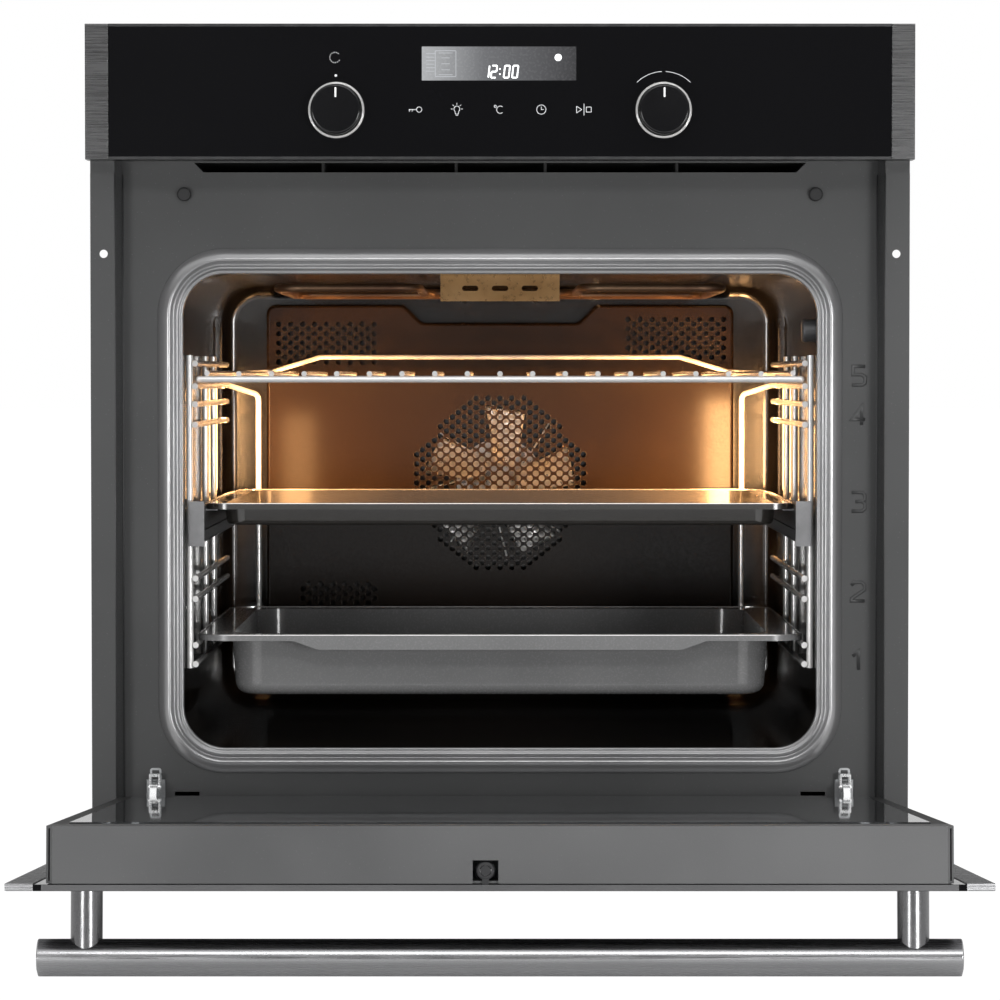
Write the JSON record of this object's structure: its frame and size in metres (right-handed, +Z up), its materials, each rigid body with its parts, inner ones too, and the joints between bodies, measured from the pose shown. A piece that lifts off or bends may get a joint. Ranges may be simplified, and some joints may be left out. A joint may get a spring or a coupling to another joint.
{
  "type": "wall oven",
  "caption": "Built-in wall oven with a drop-down glass door, sunken knobs, lit enamelled cavity, wire shelf, tray on runners and a deep pan.",
  "frame": {"origin": "middle of the base, in the plane of the cabinet front, on the underside of the case", "axes": "+X to the right as seen from the front, +Y back into the cabinet, +Z up"},
  "size_m": [0.595, 1.0419, 0.6186],
  "materials": {
    "black_glass": "polished black glass",
    "clear_glass": "polished tinted glass",
    "brushed_steel": "brushed",
    "aluminium": "satin",
    "enamel": "satin speckled enamel",
    "cavity_enamel": "glossy speckled enamel",
    "zinc_sheet": "plain galvanised",
    "chrome": "polished",
    "black_plastic": "matt",
    "gloss_plastic": "gloss",
    "rubber": "matt",
    "seal": "satin",
    "wool": "mineral wool",
    "heater": "heat-tinted",
    "bracket_tan": "heat-tinted",
    "lamp_glass": "clear ribbed glass",
    "ceramic": "matt",
    "board": "circuit board",
    "display": "gloss",
    "dark_steel": "satin"
  },
  "bodies": {
    "root": {"air_duct": "zinc_sheet", "base_heater": "heater", "base_plate": "zinc_sheet", "blower_housing": "zinc_sheet", "blower_motor": "dark_steel", "case_screws": "zinc_sheet", "cavity": "cavity_enamel", "control_board": "board", "control_panel_glass": "black_glass", "convection_motor": "dark_steel", "display_module": "display", "door_buffers": "rubber", "door_seal": "seal", "fan_cover_plate": "cavity_enamel", "front_frame": "enamel", "grill_bracket": "bracket_tan", "grill_heater": "heater", "hinge_arms": "zinc_sheet", "hinge_receivers": "zinc_sheet", "insulation": "wool", "knob_bezels": "chrome", "lamp_covers": "lamp_glass", "lamp_fittings": "ceramic", "left_side_rack": "chrome", "panel_carrier": "black_plastic", "panel_end_caps": "brushed_steel", "panel_trims": "aluminium", "probe_socket_cap": "dark_steel", "rear_cover": "zinc_sheet", "right_side_rack": "chrome", "ring_heater": "heater", "runner_rails": "chrome", "side_panels": "zinc_sheet", "temperature_sensor": "chrome", "terminal_box": "black_plastic", "top_cover": "zinc_sheet"},
    "door": {"door_outer_glass": "black_glass", "door_side_trims": "brushed_steel", "door_top_channel": "dark_steel", "door_catch": "black_plastic", "door_side_profiles": "aluminium", "door_bottom_profile": "zinc_sheet", "door_inner_glass": "clear_glass", "door_middle_glass": "clear_glass", "hinge_cases": "zinc_sheet", "hinge_springs": "dark_steel", "handle_bar": "brushed_steel", "handle_posts": "brushed_steel"},
    "convection_fan_wheel": {"convection_fan": "aluminium"},
    "blower_wheel": {"blower_impeller": "black_plastic"},
    "shelf": {"wire_shelf": "chrome"},
    "tray_carriage": {"baking_tray": "enamel", "runner_slides": "brushed_steel"},
    "pan": {"deep_pan": "enamel"},
    "function_slider": {"function_knob_slider": "black_plastic"},
    "function_dial": {"function_knob": "gloss_plastic"},
    "temperature_slider": {"temperature_knob_slider": "black_plastic"},
    "temperature_dial": {"temperature_knob": "gloss_plastic"},
    "left_catch": {"left_catch_lever": "zinc_sheet"},
    "right_catch": {"right_catch_lever": "zinc_sheet"}
  },
  "joints": [
    {"name": "door_hinge", "type": "hinge", "parent": "root", "child": "door", "pos_m": [0, -0.012, 0.01], "axis": [1, 0, 0], "range_deg": [-86, 0]},
    {"name": "convection_fan_spin", "type": "hinge", "parent": "root", "child": "convection_fan_wheel", "pos_m": [0, 0.44, 0.254], "axis": [0, 1, 0], "continuous": true},
    {"name": "blower_spin", "type": "hinge", "parent": "root", "child": "blower_wheel", "pos_m": [0, 0.38, 0.52], "axis": [0, 0, 1], "continuous": true},
    {"name": "shelf_slide", "type": "slide", "parent": "root", "child": "shelf", "axis": [0, -1, 0], "range_m": [0, 0.3]},
    {"name": "tray_runner_slide", "type": "slide", "parent": "root", "child": "tray_carriage", "axis": [0, -1, 0], "range_m": [0, 0.29]},
    {"name": "pan_slide", "type": "slide", "parent": "root", "child": "pan", "axis": [0, -1, 0], "range_m": [0, 0.3]},
    {"name": "function_knob_push", "type": "slide", "parent": "root", "child": "function_slider", "axis": [0, 1, 0], "range_m": [0, 0.012]},
    {"name": "function_knob_turn", "type": "hinge", "parent": "function_slider", "child": "function_dial", "pos_m": [-0.1173, -0.03, 0.5332], "axis": [0, 1, 0], "continuous": true},
    {"name": "temperature_knob_push", "type": "slide", "parent": "root", "child": "temperature_slider", "axis": [0, 1, 0], "range_m": [0, 0.012]},
    {"name": "temperature_knob_turn", "type": "hinge", "parent": "temperature_slider", "child": "temperature_dial", "pos_m": [0.1173, -0.03, 0.5332], "axis": [0, 1, 0], "continuous": true},
    {"name": "left_catch_flip", "type": "hinge", "parent": "root", "child": "left_catch", "pos_m": [-0.252, 0.015, 0.0425], "axis": [1, 0, 0], "range_deg": [0, 48]},
    {"name": "right_catch_flip", "type": "hinge", "parent": "root", "child": "right_catch", "pos_m": [0.252, 0.015, 0.0425], "axis": [1, 0, 0], "range_deg": [0, 48]}
  ]
}
